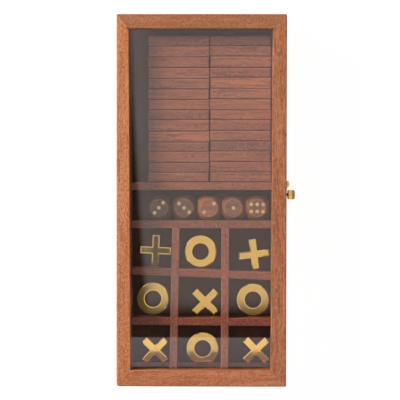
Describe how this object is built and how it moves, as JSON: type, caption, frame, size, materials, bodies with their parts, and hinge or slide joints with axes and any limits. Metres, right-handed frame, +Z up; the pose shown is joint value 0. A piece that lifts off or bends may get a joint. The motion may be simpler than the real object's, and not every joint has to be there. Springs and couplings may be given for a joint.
{
  "type": "games compendium box",
  "caption": "Shallow hinged hardwood box with a glazed lid, compartments for dominoes and dice and a grid of cells for brass noughts and crosses.",
  "frame": {"origin": "centre of the box's underside", "axes": "+Z up out of the glazed lid, +Y along the box towards the dominoes, +X towards the latch side; the hinges are on the -X side"},
  "size_m": [0.1444, 0.3, 0.044],
  "materials": {
    "case_wood": "warm red-brown hardwood with a satin wax finish",
    "divider_wood": "the same hardwood in shade, unpolished",
    "panel_wood": "thin sawn panel",
    "lining": "dark brown felt",
    "glass": "clear window glass",
    "domino_wood": "satin hardwood",
    "dice_wood": "satin hardwood",
    "brass_inlay": "rubbed flush",
    "polished_brass": "polished",
    "brass_fittings": "lacquered"
  },
  "bodies": {
    "box_base": {"bottom_panel": "panel_wood", "dice_divider": "divider_wood", "domino_divider": "divider_wood", "floor_lining": "lining", "grid_slat_left": "divider_wood", "grid_slat_lower": "divider_wood", "grid_slat_right": "divider_wood", "grid_slat_upper": "divider_wood", "hinge_base_screws": "brass_fittings", "hinge_far_base_leaf": "brass_fittings", "hinge_far_pin": "brass_fittings", "hinge_near_base_leaf": "brass_fittings", "hinge_near_pin": "brass_fittings", "latch_stud": "brass_fittings", "wall_far": "case_wood", "wall_left": "case_wood", "wall_near": "case_wood", "wall_right": "case_wood"},
    "lid": {"hinge_far_lid_leaf": "brass_fittings", "hinge_near_lid_leaf": "brass_fittings", "lid_glass": "glass", "lid_rail_far": "case_wood", "lid_rail_left": "case_wood", "lid_rail_near": "case_wood", "lid_rail_right": "case_wood", "hinge_lid_screws": "brass_fittings", "latch_pivot_screw": "brass_fittings"},
    "latch_hook": {"latch_hook": "brass_fittings"},
    "die_1": {"die_1": "dice_wood", "die_1_pips": "brass_inlay"},
    "die_2": {"die_2": "dice_wood", "die_2_pips": "brass_inlay"},
    "die_3": {"die_3": "dice_wood", "die_3_pips": "brass_inlay"},
    "die_4": {"die_4": "dice_wood", "die_4_pips": "brass_inlay"},
    "die_5": {"die_5": "dice_wood", "die_5_pips": "brass_inlay"},
    "dominoes_left": {"dominoes_left": "domino_wood", "dominoes_left_pips": "brass_inlay"},
    "dominoes_right": {"dominoes_right": "domino_wood", "dominoes_right_pips": "brass_inlay"},
    "cross_1": {"cross_1": "polished_brass"},
    "cross_2": {"cross_2": "polished_brass"},
    "cross_3": {"cross_3": "polished_brass"},
    "cross_4": {"cross_4": "polished_brass"},
    "cross_5": {"cross_5": "polished_brass"},
    "ring_1": {"ring_1": "polished_brass"},
    "ring_2": {"ring_2": "polished_brass"},
    "ring_3": {"ring_3": "polished_brass"},
    "ring_4": {"ring_4": "polished_brass"}
  },
  "joints": [
    {"name": "lid_hinge", "type": "hinge", "parent": "box_base", "child": "lid", "pos_m": [-0.0661, 0, 0.032], "axis": [0, -1, 0], "range_deg": [0, 95]},
    {"name": "hook_swing", "type": "hinge", "parent": "lid", "child": "latch_hook", "pos_m": [0.0685, 0.0134, 0.0376], "axis": [-1, 0, 0], "range_deg": [-75, 21.8]},
    {"name": "piece_die_1_lift", "type": "slide", "parent": "box_base", "child": "die_1", "axis": [0, 0, 1], "range_m": [0, 0.013]},
    {"name": "piece_die_2_lift", "type": "slide", "parent": "box_base", "child": "die_2", "axis": [0, 0, 1], "range_m": [0, 0.013]},
    {"name": "piece_die_3_lift", "type": "slide", "parent": "box_base", "child": "die_3", "axis": [0, 0, 1], "range_m": [0, 0.013]},
    {"name": "piece_die_4_lift", "type": "slide", "parent": "box_base", "child": "die_4", "axis": [0, 0, 1], "range_m": [0, 0.013]},
    {"name": "piece_die_5_lift", "type": "slide", "parent": "box_base", "child": "die_5", "axis": [0, 0, 1], "range_m": [0, 0.013]},
    {"name": "piece_cross_1_lift", "type": "slide", "parent": "box_base", "child": "cross_1", "axis": [0, 0, 1], "range_m": [0, 0.026]},
    {"name": "piece_cross_2_lift", "type": "slide", "parent": "box_base", "child": "cross_2", "axis": [0, 0, 1], "range_m": [0, 0.026]},
    {"name": "piece_cross_3_lift", "type": "slide", "parent": "box_base", "child": "cross_3", "axis": [0, 0, 1], "range_m": [0, 0.026]},
    {"name": "piece_cross_4_lift", "type": "slide", "parent": "box_base", "child": "cross_4", "axis": [0, 0, 1], "range_m": [0, 0.026]},
    {"name": "piece_cross_5_lift", "type": "slide", "parent": "box_base", "child": "cross_5", "axis": [0, 0, 1], "range_m": [0, 0.0205]},
    {"name": "piece_ring_1_lift", "type": "slide", "parent": "box_base", "child": "ring_1", "axis": [0, 0, 1], "range_m": [0, 0.026]},
    {"name": "piece_ring_2_lift", "type": "slide", "parent": "box_base", "child": "ring_2", "axis": [0, 0, 1], "range_m": [0, 0.026]},
    {"name": "piece_ring_3_lift", "type": "slide", "parent": "box_base", "child": "ring_3", "axis": [0, 0, 1], "range_m": [0, 0.026]},
    {"name": "piece_ring_4_lift", "type": "slide", "parent": "box_base", "child": "ring_4", "axis": [0, 0, 1], "range_m": [0, 0.026]},
    {"name": "piece_dominoes_left_lift", "type": "slide", "parent": "box_base", "child": "dominoes_left", "axis": [0, 0, 1], "range_m": [0, 0.0075]},
    {"name": "piece_dominoes_right_lift", "type": "slide", "parent": "box_base", "child": "dominoes_right", "axis": [0, 0, 1], "range_m": [0, 0.0075]}
  ]
}
